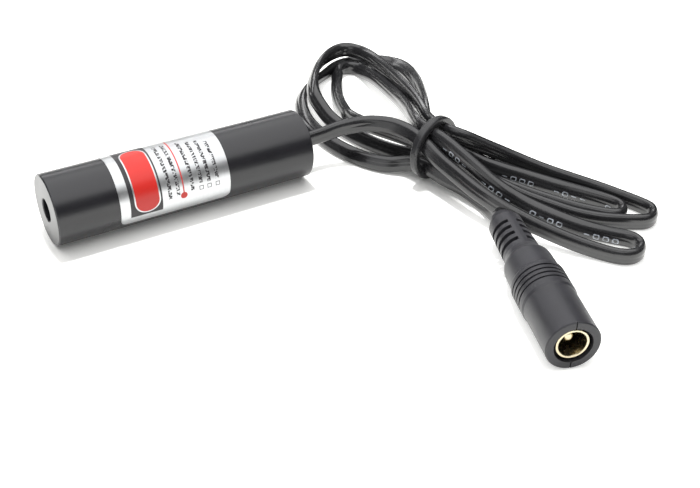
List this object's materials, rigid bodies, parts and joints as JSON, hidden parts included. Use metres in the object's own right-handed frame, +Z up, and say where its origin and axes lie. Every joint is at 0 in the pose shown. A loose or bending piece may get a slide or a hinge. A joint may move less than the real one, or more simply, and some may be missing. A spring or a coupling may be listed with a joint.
{
  "type": "laser diode module",
  "caption": "Black cylindrical line laser module with a wrapped foil label, and a flat lead tied in a hank that ends in an in-line barrel socket.",
  "frame": {"origin": "under the middle of the barrel, on the surface that it lies on", "axes": "+X along the barrel from its beam aperture to its cable end, +Z up, +Y away from the side that the label wraps down"},
  "size_m": [0.1242, 0.1411, 0.0161],
  "materials": {
    "black_anodised": "satin black anodised",
    "foil": "bright brushed foil with a printed face",
    "lens_holder": "matt",
    "optical_glass": "polished",
    "turned_brass": "turned",
    "spring_steel": "drawn wire",
    "gilt_steel": "gold plated",
    "clear_sleeve": "satin film",
    "board_green": "solder mask",
    "moulded_black": "moulded",
    "ferrite": "matt",
    "capacitor_can": "drawn can",
    "trimmer_body": "moulded",
    "resistor_body": "glazed",
    "bush_rubber": "matt",
    "cord_jacket": "soft vinyl, satin",
    "red_core": "soft vinyl",
    "black_core": "soft vinyl",
    "tie_black": "satin",
    "socket_moulding": "moulded, satin",
    "plated_contact": "nickel plated"
  },
  "bodies": {
    "root": {"barrel": "black_anodised", "foil_label": "foil", "line_lens_holder": "lens_holder", "line_lens": "optical_glass", "lens_cell": "turned_brass", "collimating_lens": "optical_glass", "lens_spring": "spring_steel", "diode_holder": "turned_brass", "diode_clamp_ring": "turned_brass", "laser_diode": "gilt_steel", "diode_window": "optical_glass", "diode_leads": "gilt_steel", "insulating_sleeve": "clear_sleeve", "driver_board": "board_green", "driver_ic": "moulded_black", "power_inductor": "ferrite", "input_capacitor": "capacitor_can", "current_trimmer": "trimmer_body", "protection_diode": "moulded_black", "chip_resistors": "resistor_body", "rear_cap": "moulded_black", "cable_bush": "bush_rubber", "cable_jacket_end": "cord_jacket", "positive_core": "red_core", "negative_core": "black_core", "cable_lead": "cord_jacket", "cable_hank": "cord_jacket", "cable_tail": "cord_jacket", "tie_band": "tie_black", "socket_housing": "socket_moulding", "socket_shell_contact": "plated_contact", "socket_insulator": "moulded_black", "socket_pin": "plated_contact", "socket_leaf_contact": "plated_contact"}
  },
  "joints": []
}
